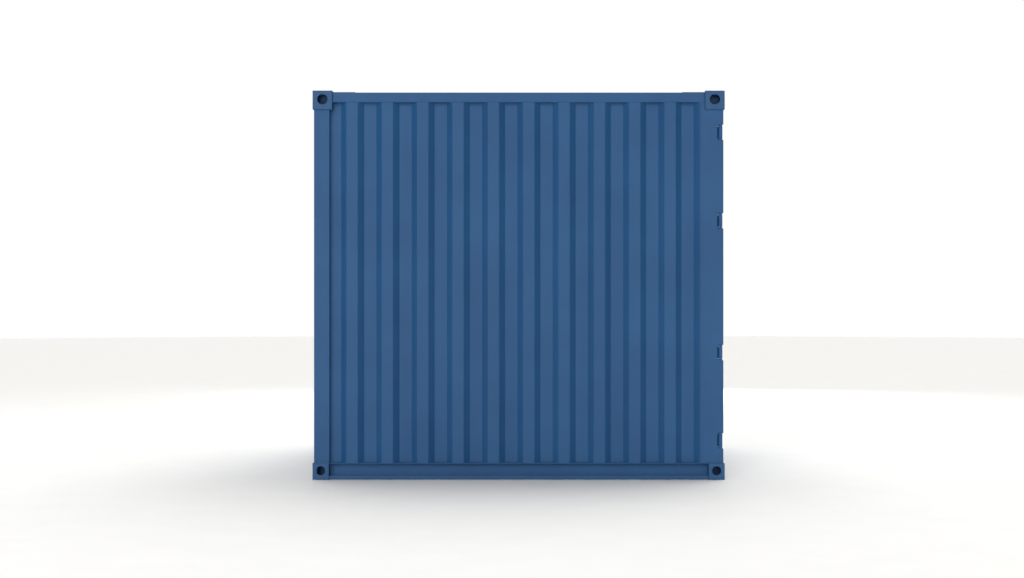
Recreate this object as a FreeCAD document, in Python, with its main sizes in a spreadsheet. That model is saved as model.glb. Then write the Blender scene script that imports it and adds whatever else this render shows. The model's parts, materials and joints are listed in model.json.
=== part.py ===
import FreeCAD, Part
import os
import re
import Sketcher

# A short steel shipping container: length along X with the doors at +X, width along Y,
# height along Z. The origin is at the middle of the base, level with the feet of the
# lower corner castings.
doc = FreeCAD.newDocument("ShippingContainer")

# Driving sizes in millimetres. "Side" distances are measured inwards from the outer
# side face of the castings, "end" distances inwards from their outer end face.
size_table = [
    ("box_length", 2743, "overall length over the castings"),
    ("box_width", 2438, "overall width over the castings"),
    ("box_height", 2591, "overall height over the castings"),
    ("casting_width", 162, "castings, across the container"),
    ("casting_wall", 16, "castings, wall thickness"),
    ("top_casting_length", 131, "upper castings, along the container"),
    ("top_casting_height", 127, "upper castings, height"),
    ("top_hole_radius", 34.5, "upper castings, round side and end holes"),
    ("top_hole_drop", 58, "upper holes, centre below the top"),
    ("top_slot_length", 92, "upper castings, twist-lock slot"),
    ("low_casting_length", 108, "lower castings, along the container"),
    ("low_casting_height", 111, "lower castings, height"),
    ("low_hole_radius", 30, "lower castings, round side and end holes"),
    ("low_hole_rise", 61, "lower holes, centre above the base"),
    ("low_slot_length", 74, "lower castings, twist-lock slot"),
    ("slot_width", 63.5, "twist-lock slots, width"),
    ("side_inset", 12, "side faces, behind the castings"),
    ("blind_inset", 7, "blind end faces, behind the castings"),
    ("post_edge_inset", 8, "door post edge, behind the castings"),
    ("post_plate", 6, "corner posts, plate thickness"),
    ("blind_post_length", 104, "blind end posts, flange on the side"),
    ("blind_post_width", 118, "blind end posts, flange on the end"),
    ("door_post_reach", 158, "door posts, end of the side flange from the end"),
    ("column_width", 54, "door posts, box column behind the side flange"),
    ("sheet", 2, "corrugated sheet thickness"),
    ("wave_depth", 36, "corrugation depth"),
    ("wave_outer_flat", 75, "corrugation, outer flat"),
    ("wave_inner_flat", 82, "corrugation, inner flat"),
    ("wave_slope", 39.2, "corrugation, length of a slope along the wall"),
    ("side_lead_flat", 32.8, "side walls, flat sheet before the first wave"),
    ("side_tail_flat", 7, "side walls, flat sheet at the door post"),
    ("top_rail_height", 63, "top side rails, height"),
    ("top_rail_depth", 60, "top rails, depth"),
    ("top_rail_drop", 13.3, "top rails, below the castings"),
    ("rail_wall", 4, "rails, wall thickness"),
    ("low_rail_depth", 48, "bottom side rails, depth"),
    ("low_rail_plate", 6, "bottom side rails, plate thickness"),
    ("low_rail_lip", 24, "bottom side rails, height of the outer lip"),
    ("foot_gap", 3, "rails, above the feet of the castings"),
    ("blind_sill_depth", 53, "blind end sill, depth"),
    ("door_frame_step", 5, "door sill and header, front face behind the leaves' faces"),
    ("door_sill_depth", 70, "door sill, depth"),
    ("door_header_depth", 60, "door header, depth"),
    ("sill_plate", 5, "sills, plate thickness"),
    ("seal_gap", 1, "door stops, clear of the gasket"),
    ("seal_lip", 6, "door stops, thickness"),
    ("seal_reach", 34, "door stops, width beside the column"),
    ("header_stop_drop", 19, "door stop below the header"),
    ("floor_rise", 19, "top of the floor, above the lower castings"),
    ("floor_thickness", 28, "floor thickness"),
    ("floor_gap", 2, "floor, gap to the frame"),
    ("member_height", 90, "cross members, height"),
    ("member_width", 45, "cross members, width"),
    ("member_wall", 4, "cross members, wall"),
    ("member_spacing", 280, "cross members, largest spacing"),
    ("roof_sheet", 2, "roof sheet thickness"),
    ("roof_margin", 8, "roof sheet edge, behind the rail faces"),
    ("trough_depth", 18, "roof troughs, depth"),
    ("trough_width", 118, "roof troughs, width at the top"),
    ("trough_slope", 13.5, "roof troughs, width of a sloping side"),
    ("trough_pitch", 209, "roof troughs, largest spacing"),
    ("trough_end_gap", 18, "roof troughs, end from the castings"),
    ("corner_plate", 3, "roof corner plates, thickness"),
    ("corner_plate_length", 150, "roof corner plates, beyond the castings"),
    ("pin_end", 27, "hinge pin axis, from the end"),
    ("pin_side", 18, "hinge pin axis, from the side"),
    ("pin_radius", 7, "hinge pin"),
    ("pin_clearance", 0.5, "hinge pin, radial clearance in the knuckle"),
    ("knuckle_radius", 13, "hinge knuckle and lug eye"),
    ("knuckle_height", 79, "hinge knuckle height"),
    ("knuckle_gap", 1.5, "hinge knuckle to lug"),
    ("lug_thickness", 10, "hinge lugs"),
    ("notch_reach", 48, "hinge notches, inner edge from the end"),
    ("blade_thickness", 10, "hinge blades"),
    ("blade_overlap", 105, "hinge blades, length on the leaf"),
    ("hinge_a", 259, "height of the lowest hinge"),
    ("hinge_b", 847, "height of the second hinge"),
    ("hinge_c", 1724.5, "height of the third hinge"),
    ("hinge_top_drop", 277, "highest hinge, below the castings' top"),
    ("gear_clearance", 5.4, "lock gear to the side wall, with a leaf swung right round"),
    ("leaf_depth", 40, "door leaves, frame depth"),
    ("leaf_side_gap", 12, "door leaves, hinge edge to the post"),
    ("leaf_clearance", 9, "door leaves, above and below"),
    ("leaf_meeting_gap", 10, "door leaves, meeting edge from the middle"),
    ("stile_width", 60, "door leaves, upright frame members"),
    ("leaf_rail_height", 100, "door leaves, level frame members"),
    ("panel_depth", 36, "door panels, corrugation depth"),
    ("panel_margin", 20, "door panels, flat beside the stiles"),
    ("gasket_flap", 4, "door gaskets, flap beyond the leaf edge"),
    ("gasket_back", 4, "door gaskets, thickness behind the leaf"),
    ("gasket_width", 30, "door gaskets, width on the leaf"),
    ("gasket_depth", 15, "door gaskets, flap along the leaf edge"),
    ("rod_radius", 13.6, "lock rods"),
    ("rod_gap", 0.8, "lock rods, clear of the leaf face"),
    ("rod_foot", 42, "lock rods, bottom above the base"),
    ("rod_head", 46, "lock rods, top below the castings' top"),
    ("cam_width", 40, "lock cams, width"),
    ("cam_height", 34, "lock cams, height"),
    ("cam_gap", 8, "lock cam to keeper"),
    ("keeper_plate", 10, "keepers, cheek thickness"),
    ("keeper_height", 46, "keepers, height"),
    ("saddle_width", 74, "rod brackets, base width"),
    ("saddle_height", 64, "rod brackets, base height"),
    ("saddle_plate", 6, "rod brackets, base thickness"),
    ("saddle_wall", 3.6, "rod brackets, saddle wall"),
    ("rod_fit", 0.3, "rod brackets, radial clearance"),
    ("handle_bar", 28, "lock handles, bar height"),
    ("handle_thickness", 9, "lock handles, bar thickness"),
    ("hub_height", 60, "lock handles, hub height"),
    ("handle_high", 1330, "outer handles, height"),
    ("handle_low", 1190, "inner handles, height"),
    ("retainer_width", 46, "handle retainers, width"),
]

sheet = doc.addObject("Spreadsheet::Sheet", "Sizes")
for row, (alias, value, meaning) in enumerate(size_table, start=1):
    sheet.set(f"A{row}", meaning)
    sheet.set(f"B{row}", str(value))
    sheet.setAlias(f"B{row}", alias)
doc.recompute()
aliases = {alias for alias, value, meaning in size_table}

# Sizes and places that follow from the driving ones.
half_length = "(box_length / 2)"
half_width = "(box_width / 2)"
top_casting_base = "(box_height - top_casting_height)"
rail_top = "(box_height - top_rail_drop)"
rail_base = f"({rail_top} - top_rail_height)"
blind_post_end = "(blind_inset + blind_post_length)"
blind_post_side = "(side_inset + blind_post_width)"
side_inner = "(side_inset + wave_depth + sheet)"
low_rail_inner = "(side_inset + low_rail_depth)"
floor_level = "(low_casting_height + floor_rise)"
column_inner = "(side_inset + column_width)"
gear_front = "(pin_end + pin_side - side_inset + gear_clearance)"
rod_end = f"({gear_front} + saddle_wall + rod_radius)"
door_face = f"({rod_end} + rod_radius + rod_gap)"
door_frame_setback = f"({door_face} + door_frame_step)"
seal_setback = f"({door_face} + leaf_depth + gasket_back + seal_gap)"
leaf_edge = f"({column_inner} + leaf_side_gap)"
leaf_base = "(low_casting_height + leaf_clearance)"
leaf_top = f"({top_casting_base} - leaf_clearance)"
leaf_meeting = f"({half_width} - leaf_meeting_gap)"
panel_start = f"({leaf_edge} + stile_width + panel_margin)"
panel_run = f"({leaf_meeting} - stile_width - panel_margin - {panel_start})"
panel_waves = f"round({panel_run} / (wave_outer_flat + wave_inner_flat + 2 * wave_slope))"
panel_pitch = f"({panel_run} / {panel_waves})"
rod_outer = f"({panel_start} + {panel_pitch} / 2)"
rod_middle = f"({rod_outer} + ({panel_waves} - 1) * {panel_pitch})"
handle_length = f"(({panel_waves} - 2) * {panel_pitch} + retainer_width)"
notch_height = "(knuckle_height + 2 * knuckle_gap + 2 * lug_thickness)"
hinge_heights = ["hinge_a", "hinge_b", "hinge_c", "(box_height - hinge_top_drop)"]

left = -1
right = 1
blind = -1
door = 1
side_names = {left: "left", right: "right"}
end_names = {blind: "blind", door: "door"}
nodes = []


def formula(text):
    # The same formula with each size name pointed at its cell.
    def cell(word):
        return f"Sizes.{word[0]}" if word[0] in aliases else word[0]
    return re.sub(r"[a-z_]+", cell, str(text))


def number(text):
    return float(sheet.evalExpression(formula(text)))


def bind(item, **properties):
    for name, text in properties.items():
        item.setExpression(name, formula(text))


def place(item, x, y, z):
    for axis, text in zip("xyz", (x, y, z)):
        item.setExpression(f"Placement.Base.{axis}", formula(text))


def node(item, label):
    item.Label = label
    nodes.append(item)
    return item


def end_x(end, inset):
    return f"({end} * ({half_length} - ({inset})))"


def side_y(side, inset):
    return f"({side} * ({half_width} - ({inset})))"


def block(name, x, y, z):
    # A box from three pairs of formulas, low and high.
    item = doc.addObject("Part::Box", name)
    bind(item, Length=f"({x[1]}) - ({x[0]})", Width=f"({y[1]}) - ({y[0]})",
         Height=f"({z[1]}) - ({z[0]})")
    place(item, x[0], y[0], z[0])
    return item


def end_span(end, near, far):
    if end == blind:
        return end_x(end, near), end_x(end, far)
    return end_x(end, far), end_x(end, near)


def side_span(side, near, far):
    if side == left:
        return side_y(side, near), side_y(side, far)
    return side_y(side, far), side_y(side, near)


def corner_block(name, end, side, u, v, z):
    # A box by its distances from the end (u) and from the side (v).
    return block(name, end_span(end, *u), side_span(side, *v), z)


def rod(name, x, y, z, radius, height, turn=None):
    item = doc.addObject("Part::Cylinder", name)
    bind(item, Radius=radius, Height=height)
    if turn:
        item.Placement = FreeCAD.Placement(FreeCAD.Vector(), turn)
    place(item, x, y, z)
    return item


def fuse(name, items):
    item = doc.addObject("Part::MultiFuse", name)
    item.Shapes = items
    item.Refine = True
    return item


def cut(name, base, tools):
    tool = tools[0]
    if len(tools) > 1:
        tool = doc.addObject("Part::Compound", f"{name}_tools")
        tool.Links = tools
    item = doc.addObject("Part::Cut", name)
    item.Base = base
    item.Tool = tool
    return item


def group(name, items):
    item = doc.addObject("Part::Compound", name)
    item.Links = items
    return item


def profile(body, name, plane, points):
    # A closed outline on one of the body's planes, each corner held by two formulas.
    outline = body.newObject("Sketcher::SketchObject", name)
    support = [item for item in body.Origin.OriginFeatures if item.Role == plane][0]
    outline.AttachmentSupport = (support, [""])
    outline.MapMode = "FlatFace"
    corners = [FreeCAD.Vector(number(a), number(b), 0) for a, b in points]
    count = len(corners)
    for index in range(count):
        edge = Part.LineSegment(corners[index], corners[(index + 1) % count])
        outline.addGeometry(edge, False)
    for index in range(count):
        outline.addConstraint(Sketcher.Constraint("Coincident", index, 2, (index + 1) % count, 1))
    for index, pair in enumerate(points):
        for kind, text, value in zip(("DistanceX", "DistanceY"), pair, corners[index]):
            held = outline.addConstraint(Sketcher.Constraint(kind, -1, 1, index, 1, value))
            outline.setExpression(f"Constraints[{held}]", formula(text))
    return outline


def extrude(body, name, outline, length):
    pad = body.newObject("PartDesign::Pad", name)
    pad.Profile = outline
    pad.Reversed = outline.AttachmentSupport[0][0].Role == "XZ_Plane"
    bind(pad, Length=length)
    return pad


def prism(name, plane, points, start, length):
    # An outline drawn along the axis that its plane faces: XY up, YZ along X, XZ along Y.
    body = doc.addObject("PartDesign::Body", name)
    extrude(body, f"{name}_length", profile(body, f"{name}_section", plane, points), length)
    axis = {"XY_Plane": "z", "YZ_Plane": "x", "XZ_Plane": "y"}[plane]
    body.setExpression(f"Placement.Base.{axis}", formula(start))
    return body


# Corner castings: hollow blocks with a round hole in the side and end faces and a
# twist-lock slot in the top or bottom face.
turn_to_x = FreeCAD.Rotation(FreeCAD.Vector(0, 1, 0), 90)
turn_to_y = FreeCAD.Rotation(FreeCAD.Vector(1, 0, 0), -90)


def casting(name, end, side, level):
    length = f"{level}_casting_length"
    radius = f"{level}_hole_radius"
    slot = f"{level}_slot_length"
    if level == "top":
        z = (top_casting_base, "box_height")
        hole_z = "(box_height - top_hole_drop)"
        slot_z = "(box_height - casting_wall - 1)"
    else:
        z = ("0", "low_casting_height")
        hole_z = "low_hole_rise"
        slot_z = "(-1)"
    middle_x = end_x(end, f"{length} / 2")
    middle_y = side_y(side, "casting_width / 2")
    outer = corner_block(f"{name}_block", end, side, ("0", length), ("0", "casting_width"), z)
    cavity = corner_block(f"{name}_cavity", end, side, ("casting_wall", f"{length} - casting_wall"),
                          ("casting_wall", "casting_width - casting_wall"),
                          (f"{z[0]} + casting_wall", f"{z[1]} - casting_wall"))
    wall_start = side_span(side, "-1", "casting_wall + 1")[0]
    side_hole = rod(f"{name}_side_hole", middle_x, wall_start, hole_z, radius, "casting_wall + 2",
                    turn_to_y)
    wall_start = end_span(end, "-1", "casting_wall + 1")[0]
    end_hole = rod(f"{name}_end_hole", wall_start, middle_y, hole_z, radius, "casting_wall + 2",
                   turn_to_x)
    half_run = f"(({slot} - slot_width) / 2)"
    tools = [cavity, side_hole, end_hole]
    tools.append(block(f"{name}_slot", (f"{middle_x} - {half_run}", f"{middle_x} + {half_run}"),
                       (f"{middle_y} - slot_width / 2", f"{middle_y} + slot_width / 2"),
                       (slot_z, f"{slot_z} + casting_wall + 2")))
    for sign in (-1, 1):
        tools.append(rod(f"{name}_slot_end{sign + 1}", f"{middle_x} + {sign} * {half_run}",
                         middle_y, slot_z, "slot_width / 2", "casting_wall + 2"))
    return node(cut(name, outer, [fuse(f"{name}_openings", tools)]), name)


for level in ("low", "top"):
    for end in (blind, door):
        for side in (left, right):
            casting(f"casting_{level}_{end_names[end]}_{side_names[side]}", end, side, level)

# Corner posts at the blind end: pressed angles with a return on each flange.
for side in (left, right):
    name = f"corner_post_blind_{side_names[side]}"
    plate_u = "(blind_inset + post_plate)"
    plate_v = "(side_inset + post_plate)"
    return_v = f"({side_inner} + 10)"
    return_u = "(blind_inset + wave_depth + sheet + 10)"
    corners = [
        ("blind_inset", "side_inset"),
        (blind_post_end, "side_inset"),
        (blind_post_end, return_v),
        (f"{blind_post_end} - post_plate", return_v),
        (f"{blind_post_end} - post_plate", plate_v),
        (plate_u, plate_v),
        (plate_u, f"{blind_post_side} - post_plate"),
        (return_u, f"{blind_post_side} - post_plate"),
        (return_u, blind_post_side),
        ("blind_inset", blind_post_side),
    ]
    points = [(end_x(blind, u), side_y(side, v)) for u, v in corners]
    node(prism(name, "XY_Plane", points, "low_casting_height",
               f"{top_casting_base} - low_casting_height"), name)

# Corner posts at the door end: a wide side flange notched for the hinges, a box column
# behind it and a stop that the door gasket closes on.
for side in (left, right):
    name = f"corner_post_door_{side_names[side]}"
    tall = ("low_casting_height", top_casting_base)
    flange_in = "side_inset + post_plate"
    flange = corner_block(f"{name}_flange", door, side, ("post_edge_inset", "door_post_reach"),
                          ("side_inset", flange_in), tall)
    riser = corner_block(f"{name}_riser", door, side, ("top_casting_length", "door_post_reach"),
                         ("side_inset", flange_in), (top_casting_base, rail_base))
    column = corner_block(f"{name}_column", door, side,
                          (f"{door_face} + post_plate", f"{seal_setback} + seal_lip"),
                          (flange_in, column_inner), tall)
    stop = corner_block(f"{name}_stop", door, side, (seal_setback, f"{seal_setback} + seal_lip"),
                        (column_inner, f"{column_inner} + seal_reach"), tall)
    hollow = corner_block(f"{name}_hollow", door, side,
                          (f"{door_face} + 2 * post_plate", f"{seal_setback} + seal_lip - post_plate"),
                          (flange_in, f"{column_inner} - post_plate"), tall)
    notches = [hollow]
    for height in hinge_heights:
        notches.append(corner_block(f"{name}_notch", door, side, ("0", "notch_reach"),
                                    ("0", f"{flange_in} + 1"),
                                    (f"{height} - {notch_height} / 2", f"{height} + {notch_height} / 2")))
    node(cut(name, fuse(f"{name}_plates", [flange, riser, column, stop]), notches), name)

# Top side rails and the blind end header: square tubes between the castings.
tube_z = (rail_base, rail_top)
hollow_z = (f"{rail_base} + rail_wall", f"{rail_top} - rail_wall")
rail_run = (end_x(blind, "top_casting_length"), end_x(door, "top_casting_length"))
cross_run = (side_y(left, "casting_width"), side_y(right, "casting_width"))
for side in (left, right):
    name = f"top_rail_{side_names[side]}"
    depth = "side_inset + top_rail_depth"
    outer = block(f"{name}_tube", rail_run, side_span(side, "side_inset", depth), tube_z)
    inner = block(f"{name}_bore", rail_run,
                  side_span(side, "side_inset + rail_wall", f"{depth} - rail_wall"), hollow_z)
    node(cut(name, outer, [inner]), name)

outer = block("header_blind_tube", end_span(blind, "blind_inset", "blind_inset + top_rail_depth"),
              cross_run, tube_z)
inner = block("header_blind_bore",
              end_span(blind, "blind_inset + rail_wall", "blind_inset + top_rail_depth - rail_wall"),
              cross_run, hollow_z)
node(cut("header_blind", outer, [inner]), "header_blind")

# Bottom side rails: channels open to the outside with an upturned lip.
for side in (left, right):
    name = f"bottom_rail_{side_names[side]}"
    web = f"{low_rail_inner} - low_rail_plate"
    section = [
        ("side_inset", "low_casting_height"),
        (low_rail_inner, "low_casting_height"),
        (low_rail_inner, "foot_gap"),
        ("side_inset", "foot_gap"),
        ("side_inset", "foot_gap + low_rail_lip"),
        ("side_inset + low_rail_plate", "foot_gap + low_rail_lip"),
        ("side_inset + low_rail_plate", "foot_gap + low_rail_plate"),
        (web, "foot_gap + low_rail_plate"),
        (web, "low_casting_height - low_rail_plate"),
        ("side_inset", "low_casting_height - low_rail_plate"),
    ]
    points = [(side_y(side, v), z) for v, z in section]
    node(prism(name, "YZ_Plane", points, end_x(blind, "low_casting_length"),
               "box_length - 2 * low_casting_length"), name)

# Sills and the door header, between the castings. The sill and header at the doors each
# carry a stop behind the leaves.
sill_length = "box_width - 2 * casting_width"
stop_run = (side_y(left, f"{column_inner} + seal_reach"), side_y(right, f"{column_inner} + seal_reach"))
section = [
    ("blind_inset", "foot_gap"),
    ("blind_inset + blind_sill_depth", "foot_gap"),
    ("blind_inset + blind_sill_depth", "foot_gap + sill_plate"),
    ("blind_inset + sill_plate", "foot_gap + sill_plate"),
    ("blind_inset + sill_plate", "low_casting_height - sill_plate"),
    ("blind_inset + blind_sill_depth", "low_casting_height - sill_plate"),
    ("blind_inset + blind_sill_depth", "low_casting_height"),
    ("blind_inset", "low_casting_height"),
]
points = [(end_x(blind, u), z) for u, z in section]
node(prism("sill_blind", "XZ_Plane", points, cross_run[0], sill_length), "sill_blind")

sill_back = f"{door_frame_setback} + door_sill_depth"
section = [
    (door_frame_setback, "foot_gap"),
    (sill_back, "foot_gap"),
    (sill_back, "foot_gap + sill_plate"),
    (f"{door_frame_setback} + sill_plate", "foot_gap + sill_plate"),
    (f"{door_frame_setback} + sill_plate", "low_casting_height - sill_plate"),
    (sill_back, "low_casting_height - sill_plate"),
    (sill_back, "low_casting_height"),
    (door_frame_setback, "low_casting_height"),
]
points = [(end_x(door, u), z) for u, z in section]
channel = prism("sill_door_channel", "XZ_Plane", points, cross_run[0], sill_length)
step = block("sill_door_step", end_span(door, seal_setback, sill_back), stop_run,
             ("low_casting_height", floor_level))
node(fuse("sill_door", [channel, step]), "sill_door")

header_back = f"{door_frame_setback} + door_header_depth"
header_z = (top_casting_base, rail_top)
outer = block("header_door_tube", end_span(door, door_frame_setback, header_back), cross_run,
              header_z)
inner = block("header_door_bore",
              end_span(door, f"{door_frame_setback} + sill_plate", f"{header_back} - sill_plate"),
              cross_run, (f"{top_casting_base} + sill_plate", f"{rail_top} - sill_plate"))
stop = block("header_door_stop", end_span(door, seal_setback, f"{seal_setback} + seal_lip"), stop_run,
             (f"{top_casting_base} - header_stop_drop", top_casting_base))
node(fuse("header_door", [cut("header_door_box", outer, [inner]), stop]), "header_door")


# Corrugated sheet: one wave, drawn from the middle of an inner flat to the middle of the
# next, is padded upright and repeated along the wall.
def wave_run(name, start, end, reach, depth, face, upright, along):
    # start and end are the places of the outer waves' ends along the wall, reach turns a
    # depth behind the outer face into the other coordinate, face is the outer flats' depth.
    count = f"round(({end} - ({start})) / (wave_outer_flat + wave_inner_flat + 2 * wave_slope))"
    pitch = f"(({end} - ({start})) / {count})"
    slope = f"(({pitch} - wave_outer_flat - wave_inner_flat) / 2)"
    lean = f"(sheet * (sqrt(({depth}) ^ 2 + {slope} ^ 2) - {slope}) / ({depth}))"
    half_inner = "wave_inner_flat / 2"
    rise = f"{start} + {half_inner}"
    crest = f"{rise} + {slope}"
    fall = f"{crest} + wave_outer_flat"
    foot = f"{fall} + {slope}"
    stations = [(start, depth), (rise, depth), (crest, "0"), (fall, "0"), (foot, depth),
                (f"{start} + {pitch}", depth)]
    leans = ["0", f"{lean}", f"{lean}", f"-{lean}", f"-{lean}", "0"]
    front = [(place_along, f"{face} + {behind}") for place_along, behind in stations]
    back = [(f"{place_along} + {shift}", f"{face} + {behind} + sheet")
            for (place_along, behind), shift in zip(stations, leans)]
    corners = [along(a, reach(b)) for a, b in front + back[::-1]]
    body = doc.addObject("PartDesign::Body", name)
    outline = profile(body, f"{name}_section", "XY_Plane", corners)
    wave = extrude(body, f"{name}_wave", outline, f"({upright[1]}) - ({upright[0]})")
    waves = body.newObject("PartDesign::LinearPattern", f"{name}_waves")
    waves.Originals = [wave]
    waves.Direction = (outline, ["H_Axis" if along("1", "0") == ("1", "0") else "V_Axis"])
    bind(waves, Length=f"{pitch} * ({count} - 1)", Occurrences=count)
    body.Tip = waves
    body.setExpression("Placement.Base.z", formula(upright[0]))
    return body


wall_z = ("low_casting_height", rail_base)
lean = "(sheet * (sqrt(wave_depth ^ 2 + wave_slope ^ 2) - wave_slope) / wave_depth)"
waves_start = f"({end_x(blind, blind_post_end)} + side_lead_flat)"
tail_length = "(wave_inner_flat / 2 + wave_slope + side_tail_flat)"
waves_end = f"({end_x(door, 'door_post_reach')} - {tail_length})"
for side in (left, right):
    name = f"side_wall_{side_names[side]}"

    def reach(inset, side=side):
        return side_y(side, inset)

    def along_x(along, across):
        return along, across

    waves = wave_run(f"{name}_sheet", waves_start, waves_end, reach, "wave_depth", "side_inset",
                     wall_z, along_x)
    trough = ("side_inset + wave_depth", side_inner)
    lead = block(f"{name}_lead", (end_x(blind, blind_post_end), waves_start),
                 side_span(side, *trough), wall_z)
    foot = f"{waves_end} + wave_inner_flat / 2"
    crest = f"{foot} + wave_slope"
    tail = [
        (waves_end, trough[0]),
        (foot, trough[0]),
        (crest, "side_inset"),
        (f"{crest} + side_tail_flat", "side_inset"),
        (f"{crest} + side_tail_flat", "side_inset + sheet"),
        (f"{crest} + {lean}", "side_inset + sheet"),
        (f"{foot} + {lean}", trough[1]),
        (waves_end, trough[1]),
    ]
    points = [(x, side_y(side, v)) for x, v in tail]
    end_piece = prism(f"{name}_tail", "XY_Plane", points, wall_z[0], f"{wall_z[1]} - {wall_z[0]}")
    corner = corner_block(f"{name}_corner", blind, side, ("0", "top_casting_length"),
                          ("0", "casting_width"), (top_casting_base, "box_height"))
    whole = fuse(f"{name}_whole", [lead, waves, end_piece])
    node(cut(name, whole, [corner]), name)


def along_y(along, across):
    return across, along


def blind_reach(inset):
    return end_x(blind, inset)


def door_reach(inset):
    return end_x(door, inset)


waves = wave_run("end_wall_sheet", side_y(left, blind_post_side), side_y(right, blind_post_side),
                 blind_reach, "wave_depth", "blind_inset", wall_z, along_y)
corners = []
for side in (left, right):
    corners.append(corner_block("end_wall_corner", blind, side, ("0", "top_casting_length"),
                                ("0", "casting_width"), (top_casting_base, "box_height")))
node(cut("end_wall", waves, corners), "end_wall")

# Roof: one sheet over the side rails with closed troughs pressed down across the
# container, a plate on each header between the castings, and plates that guard the corners.
roof_x = (end_x(blind, "top_casting_length"), end_x(door, "top_casting_length"))
roof_y = (side_y(left, "side_inset + roof_margin"), side_y(right, "side_inset + roof_margin"))
roof_z = (rail_top, f"{rail_top} + roof_sheet")
trough_start = end_x(blind, "top_casting_length + roof_margin")
trough_end = end_x(door, f"{header_back} + 3 * roof_margin")
trough_count = int(number(f"({trough_end} - ({trough_start})) / trough_pitch"))
trough_step = f"(({trough_end} - ({trough_start})) / {trough_count})"
press_shape = {"outer": ("0", "trough_depth"), "inner": ("roof_sheet", "trough_depth")}
sheet_flat = block("roof_flat", roof_x, roof_y, roof_z)
plates = []
for end in (blind, door):
    for side in (left, right):
        reach_u = "top_casting_length + corner_plate_length"
        plates.append(corner_block(f"roof_plate_{end_names[end]}_{side_names[side]}", end, side,
                                   ("top_casting_length", reach_u),
                                   ("side_inset + roof_margin", "casting_width"),
                                   (roof_z[1], f"{roof_z[1]} + corner_plate")))
header_plates = [block("roof_plate_blind", end_span(blind, "blind_inset + roof_margin", "top_casting_length"),
                       cross_run, roof_z),
                 block("roof_plate_door",
                       end_span(door, f"{door_frame_setback} + roof_margin", "top_casting_length"),
                       cross_run, roof_z)]


def trough(index, part):
    # The pressing's outer face or its hollow: a block with sloping sides, wide at the top.
    inset, depth = press_shape[part]
    item = doc.addObject("Part::Wedge", f"roof_trough_{part}")
    half_run = f"({half_width} - casting_width - trough_end_gap - {inset})"
    half_top = f"(trough_width / 2 - {inset})"
    bind(item, Xmin=f"-{half_top}", Xmax=half_top, Zmin=f"-{half_run}", Zmax=half_run,
         X2min=f"-{half_top} + trough_slope", X2max=f"{half_top} - trough_slope",
         Z2min=f"-{half_run} + trough_slope", Z2max=f"{half_run} - trough_slope",
         Ymin=0, Ymax=depth)
    item.Placement = FreeCAD.Placement(FreeCAD.Vector(), FreeCAD.Rotation(FreeCAD.Vector(1, 0, 0), -90))
    middle = f"{trough_start} + {trough_step} * ({index} + 0.5)"
    place(item, middle, "0", rail_top if part == "outer" else roof_z[1])
    return item


pressed = fuse("roof_pressed", [sheet_flat] + [trough(i, "outer") for i in range(trough_count)])
node(cut("roof_panel", pressed, [trough(i, "inner") for i in range(trough_count)]), "roof_panel")
node(group("roof_header_plates", header_plates), "roof_header_plates")
node(group("roof_corner_plates", plates), "roof_corner_plates")

# Floor on its cross members.
member_top = f"({floor_level} - floor_thickness)"
floor_side = f"{low_rail_inner} + floor_gap"
boards = block("floor_boards",
               (end_x(blind, "blind_inset + blind_sill_depth + floor_gap"),
                end_x(door, f"{sill_back} + floor_gap")),
               (side_y(left, floor_side), side_y(right, floor_side)), (member_top, floor_level))
corners = []
for side in (left, right):
    corners.append(corner_block("floor_corner", blind, side,
                                ("0", f"{blind_post_end} + floor_gap"),
                                ("0", "casting_width + floor_gap"), ("0", "box_height")))
node(cut("floor", boards, corners), "floor")

member_first = end_x(blind, "low_casting_length + member_width")
member_last = end_x(door, f"{sill_back} + 2 * member_width")
member_bays = int(number(f"({member_last} - ({member_first})) / member_spacing")) + 1
member_step = f"(({member_last} - ({member_first})) / {member_bays})"
members = []
for index in range(member_bays + 1):
    start = f"{member_first} + {member_step} * {index}"
    run = (side_y(left, low_rail_inner), side_y(right, low_rail_inner))
    base = f"{member_top} - member_height"
    outer = block(f"member{index}_bar", (start, f"{start} + member_width"), run, (base, member_top))
    inner = block(f"member{index}_open", (f"{start} + member_wall", f"{start} + member_width + 1"),
                  run, (f"{base} + member_wall", f"{member_top} - member_wall"))
    members.append(cut(f"member{index}", outer, [inner]))
node(group("cross_members", members), "cross_members")

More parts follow.
